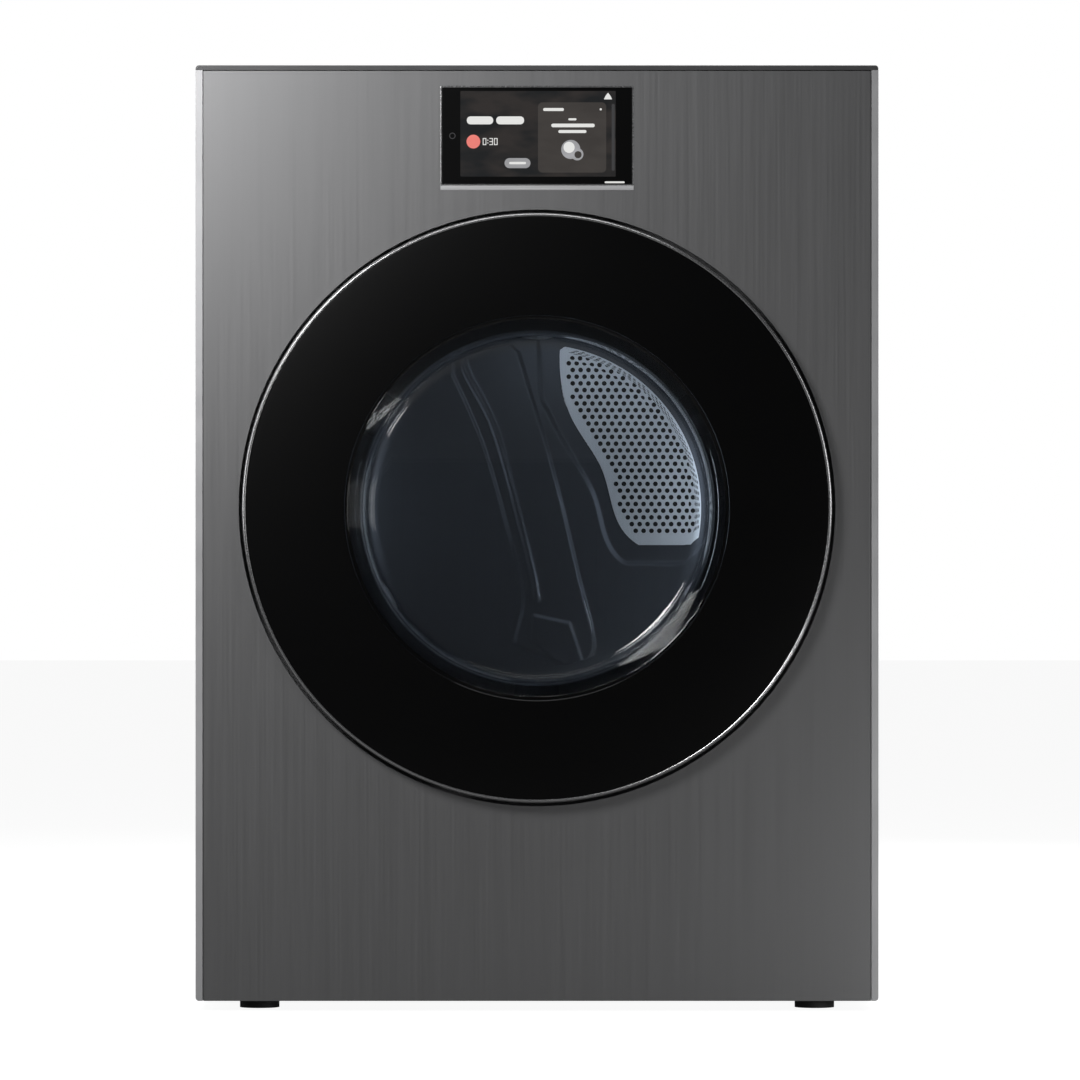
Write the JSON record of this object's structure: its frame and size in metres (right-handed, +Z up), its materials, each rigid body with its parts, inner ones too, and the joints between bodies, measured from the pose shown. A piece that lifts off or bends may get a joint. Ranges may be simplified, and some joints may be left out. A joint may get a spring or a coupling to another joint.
{
  "type": "clothes dryer",
  "caption": "Front-loading vented clothes dryer: round black-glass door with a clear bowl, wide touch display, drum, motor, blower, heater and rear exhaust collar.",
  "frame": {"origin": "centre of the bounding box bottom face, on the floor", "axes": "+X to the right seen from the front, -Y to the front (door), +Z up"},
  "size_m": [0.686, 0.806, 0.95],
  "materials": {
    "front_steel": "vertical fine brushing, dark neutral grey, anti-print lacquer",
    "cabinet_paint": "satin silver-grey paint",
    "lid_paint": "satin dark grey paint",
    "galvanised": "zinc-coated sheet, faint spangle",
    "drum_steel": "satin stainless steel",
    "screw_steel": "bright zinc",
    "trim_metal": "polished bevel, dark anodised",
    "black_glass": "black-printed tempered glass, high gloss",
    "clear_glass": "clear tempered glass, faint blue-grey tint",
    "dark_plastic": "fine-grained black moulding",
    "grey_plastic": "moulded polypropylene",
    "felt": "pressed wool felt",
    "rubber": "matt black rubber",
    "motor_paint": "satin enamel",
    "duct_metal": "aluminised sheet",
    "heater_wire": "oxidised heating rod with pale insulator strips",
    "board": "green circuit board with dark components"
  },
  "bodies": {
    "root": {"front_panel": "front_steel", "side_panel_left": "cabinet_paint", "side_panel_right": "cabinet_paint", "top_panel": "lid_paint", "base_pan": "galvanised", "rear_panel": "galvanised", "terminal_cover": "galvanised", "front_bulkhead": "galvanised", "door_recess": "galvanised", "heater_box": "galvanised", "motor_bracket": "galvanised", "hinge_bracket": "galvanised", "rear_bulkhead": "drum_steel", "inlet_grille": "drum_steel", "sensor_bars": "drum_steel", "cabinet_screws": "screw_steel", "roller_axles": "screw_steel", "idler_spring": "screw_steel", "display_bezel": "trim_metal", "display_glass": "black_glass", "drum_lamp_lens": "clear_glass", "latch_housing": "dark_plastic", "terminal_block": "dark_plastic", "display_module": "dark_plastic", "blower_housing": "grey_plastic", "filter_housing": "grey_plastic", "front_felt": "felt", "rear_felt": "felt", "drive_belt": "rubber", "motor_housing": "motor_paint", "exhaust_duct": "duct_metal", "heater_coil": "heater_wire", "control_board": "board"},
    "door": {"door_trim_ring": "trim_metal", "door_ring_glass": "black_glass", "door_frame": "dark_plastic", "door_bowl": "clear_glass", "door_gasket": "rubber", "hinge_pin": "screw_steel", "hinge_plate": "galvanised", "door_strike": "screw_steel"},
    "drum": {"drum_shell": "drum_steel", "drum_lifter_1": "grey_plastic", "drum_lifter_2": "grey_plastic", "drum_lifter_3": "grey_plastic"},
    "rotor": {"motor_shaft": "screw_steel", "motor_pulley": "motor_paint", "blower_wheel": "grey_plastic"},
    "roller_front_left": {"roller_front_left": "rubber"},
    "roller_front_right": {"roller_front_right": "rubber"},
    "roller_rear_left": {"roller_rear_left": "rubber"},
    "roller_rear_right": {"roller_rear_right": "rubber"},
    "idler_arm": {"idler_arm": "galvanised"},
    "idler_wheel": {"idler_pulley": "grey_plastic"},
    "lint_filter": {"lint_filter": "grey_plastic"},
    "latch_plunger": {"latch_plunger": "dark_plastic"},
    "foot_front_left": {"foot_front_left": "rubber"},
    "foot_front_right": {"foot_front_right": "rubber"},
    "foot_rear_left": {"foot_rear_left": "rubber"},
    "foot_rear_right": {"foot_rear_right": "rubber"}
  },
  "joints": [
    {"name": "door_hinge", "type": "hinge", "parent": "root", "child": "door", "pos_m": [0.28, -0.391, 0.5052], "axis": [0, 0, 1], "range_deg": [0, 125]},
    {"name": "drum_spin", "type": "hinge", "parent": "root", "child": "drum", "pos_m": [0, 0, 0.5052], "axis": [0, 1, 0], "continuous": true},
    {"name": "rotor_spin", "type": "hinge", "parent": "root", "child": "rotor", "pos_m": [-0.19, 0, 0.105], "axis": [0, 1, 0], "continuous": true},
    {"name": "roller_front_left_spin", "type": "hinge", "parent": "root", "child": "roller_front_left", "pos_m": [-0.25689, 0, 0.24831], "axis": [0, 1, 0], "continuous": true},
    {"name": "roller_front_right_spin", "type": "hinge", "parent": "root", "child": "roller_front_right", "pos_m": [0.25689, 0, 0.24831], "axis": [0, 1, 0], "continuous": true},
    {"name": "roller_rear_left_spin", "type": "hinge", "parent": "root", "child": "roller_rear_left", "pos_m": [-0.25689, 0, 0.24831], "axis": [0, 1, 0], "continuous": true},
    {"name": "roller_rear_right_spin", "type": "hinge", "parent": "root", "child": "roller_rear_right", "pos_m": [0.25689, 0, 0.24831], "axis": [0, 1, 0], "continuous": true},
    {"name": "idler_swing", "type": "hinge", "parent": "root", "child": "idler_arm", "pos_m": [-0.255, 0, 0.085], "axis": [0, 1, 0], "range_deg": [0, 8], "stiffness_Nm_per_rad": 2, "springref_deg": -17.19, "deforming": ["idler_spring"]},
    {"name": "idler_spin", "type": "hinge", "parent": "idler_arm", "child": "idler_wheel", "pos_m": [-0.222, 0, 0.175], "axis": [0, 1, 0], "continuous": true},
    {"name": "lint_filter_slide", "type": "slide", "parent": "root", "child": "lint_filter", "axis": [0, 0, 1], "range_m": [0, 0.12]},
    {"name": "latch_plunger_slide", "type": "slide", "parent": "root", "child": "latch_plunger", "axis": [0, 1, 0], "range_m": [0, 0.003], "stiffness_N_per_m": 200, "springref_m": -0.006},
    {"name": "foot_front_left_screw", "type": "slide", "parent": "root", "child": "foot_front_left", "axis": [0, 0, -1], "range_m": [0, 0.015]},
    {"name": "foot_front_right_screw", "type": "slide", "parent": "root", "child": "foot_front_right", "axis": [0, 0, -1], "range_m": [0, 0.015]},
    {"name": "foot_rear_left_screw", "type": "slide", "parent": "root", "child": "foot_rear_left", "axis": [0, 0, -1], "range_m": [0, 0.015]},
    {"name": "foot_rear_right_screw", "type": "slide", "parent": "root", "child": "foot_rear_right", "axis": [0, 0, -1], "range_m": [0, 0.015]}
  ],
  "couplings": [
    {"joint": "rotor_spin", "follows": "drum_spin", "ratio": 21},
    {"joint": "idler_spin", "follows": "drum_spin", "ratio": 12.781},
    {"joint": "roller_front_left_spin", "follows": "drum_spin", "ratio": -8.5526},
    {"joint": "roller_front_right_spin", "follows": "drum_spin", "ratio": -8.5526},
    {"joint": "roller_rear_left_spin", "follows": "drum_spin", "ratio": -8.5526},
    {"joint": "roller_rear_right_spin", "follows": "drum_spin", "ratio": -8.5526}
  ]
}
